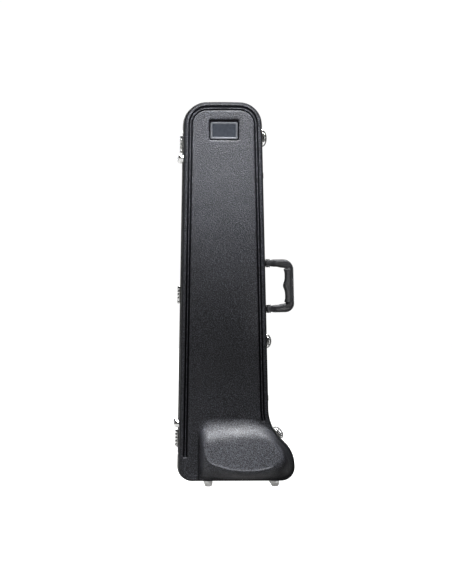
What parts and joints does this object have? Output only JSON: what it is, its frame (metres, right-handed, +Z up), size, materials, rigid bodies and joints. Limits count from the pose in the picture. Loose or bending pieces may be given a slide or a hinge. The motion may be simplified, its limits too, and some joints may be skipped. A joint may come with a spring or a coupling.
{
  "type": "trombone case",
  "caption": "Upright hard case for a tenor trombone: two moulded halves hinged on the spine edge, with draw latches, a swinging handle, a bell boot, feet and fitted linings.",
  "frame": {"origin": "middle of the case's footprint, on the plane that its four bottom feet stand on", "axes": "+Z up along the case, +X towards the latches and the handle, -Y out of the lid's face, parting plane at y = 0"},
  "size_m": [0.3016, 0.2398, 0.9495],
  "materials": {
    "shell_plastic": "matte",
    "valance_metal": "satin",
    "plush": "matte",
    "nickel": "polished",
    "handle_rubber": "matte",
    "badge_metal": "satin",
    "tray_plastic": "matte"
  },
  "bodies": {
    "base": {"base_shell": "shell_plastic", "base_valance": "valance_metal", "base_lining": "plush", "accessory_tray": "tray_plastic", "mouthpiece_cradle": "tray_plastic", "hinge_leaf_base_lower": "nickel", "hinge_leaf_base_middle": "nickel", "hinge_leaf_base_upper": "nickel", "hinge_pin_lower": "nickel", "hinge_pin_middle": "nickel", "hinge_pin_upper": "nickel", "latch_plate_bell": "nickel", "latch_plate_middle": "nickel", "latch_plate_top": "nickel", "latch_pin_bell": "nickel", "latch_pin_middle": "nickel", "latch_pin_top": "nickel", "handle_plate_lower": "handle_rubber", "handle_plate_upper": "handle_rubber", "handle_pin_lower": "nickel", "handle_pin_upper": "nickel", "foot_base_spine": "nickel", "foot_base_flare": "nickel", "spine_foot_base_lower": "nickel", "spine_foot_base_upper": "nickel", "strap_staple_lower": "nickel", "strap_staple_upper": "nickel"},
    "lid": {"lid_shell": "shell_plastic", "lid_valance": "valance_metal", "lid_lining": "plush", "badge_plate": "badge_metal", "hinge_leaf_lid_lower": "nickel", "hinge_leaf_lid_middle": "nickel", "hinge_leaf_lid_upper": "nickel", "latch_keeper_bell": "nickel", "latch_keeper_middle": "nickel", "latch_keeper_top": "nickel", "foot_lid_spine": "nickel", "foot_lid_flare": "nickel", "spine_foot_lid_lower": "nickel", "spine_foot_lid_upper": "nickel", "spine_stud_lower": "nickel", "spine_stud_upper": "nickel", "slide_post_lower": "nickel", "slide_post_upper": "nickel"},
    "handle": {"handle_frame": "handle_rubber", "handle_grip_sleeve": "handle_rubber"},
    "slide_button_lower": {"slide_button_lower": "tray_plastic"},
    "slide_button_upper": {"slide_button_upper": "tray_plastic"},
    "lever_bell": {"latch_lever_bell": "nickel"},
    "bail_bell": {"latch_bail_bell": "nickel"},
    "lever_middle": {"latch_lever_middle": "nickel"},
    "bail_middle": {"latch_bail_middle": "nickel"},
    "lever_top": {"latch_lever_top": "nickel"},
    "bail_top": {"latch_bail_top": "nickel"}
  },
  "joints": [
    {"name": "lid_swing", "type": "hinge", "parent": "base", "child": "lid", "pos_m": [-0.13847, 0, 0.47246], "axis": [-0.0167, 0, -0.9999], "range_deg": [0, 130]},
    {"name": "latch_bell_lever", "type": "hinge", "parent": "base", "child": "lever_bell", "pos_m": [0.11282, 0.009, 0.13009], "axis": [0.6216, 0, -0.7833], "range_deg": [0, 85]},
    {"name": "latch_bell_bail", "type": "hinge", "parent": "lever_bell", "child": "bail_bell", "pos_m": [0.11173, 0.017, 0.12922], "axis": [-0.6216, 0, 0.7833], "range_deg": [0, 93.5]},
    {"name": "latch_middle_lever", "type": "hinge", "parent": "base", "child": "lever_middle", "pos_m": [0.08615, 0.009, 0.35694], "axis": [0.0228, 0, -0.9997], "range_deg": [0, 85]},
    {"name": "latch_middle_bail", "type": "hinge", "parent": "lever_middle", "child": "bail_middle", "pos_m": [0.08475, 0.017, 0.3569], "axis": [-0.0228, 0, 0.9997], "range_deg": [0, 93.5]},
    {"name": "latch_top_lever", "type": "hinge", "parent": "base", "child": "lever_top", "pos_m": [0.07457, 0.009, 0.86354], "axis": [0.0228, 0, -0.9997], "range_deg": [0, 85]},
    {"name": "latch_top_bail", "type": "hinge", "parent": "lever_top", "child": "bail_top", "pos_m": [0.07317, 0.017, 0.8635], "axis": [-0.0228, 0, 0.9997], "range_deg": [0, 93.5]},
    {"name": "handle_swing", "type": "hinge", "parent": "base", "child": "handle", "pos_m": [0.08461, 0.026, 0.49447], "axis": [-0.0228, 0, 0.9997], "range_deg": [-65, 65]},
    {"name": "slide_button_lower_turn", "type": "hinge", "parent": "lid", "child": "slide_button_lower", "pos_m": [-0.03905, 0, 0.432], "axis": [0, 1, 0], "range_deg": [0, 90]},
    {"name": "slide_button_upper_turn", "type": "hinge", "parent": "lid", "child": "slide_button_upper", "pos_m": [-0.03905, 0, 0.772], "axis": [0, 1, 0], "range_deg": [0, 90]}
  ],
  "couplings": [
    {"joint": "latch_bell_bail", "follows": "latch_bell_lever", "ratio": 1.1},
    {"joint": "latch_middle_bail", "follows": "latch_middle_lever", "ratio": 1.1},
    {"joint": "latch_top_bail", "follows": "latch_top_lever", "ratio": 1.1}
  ]
}
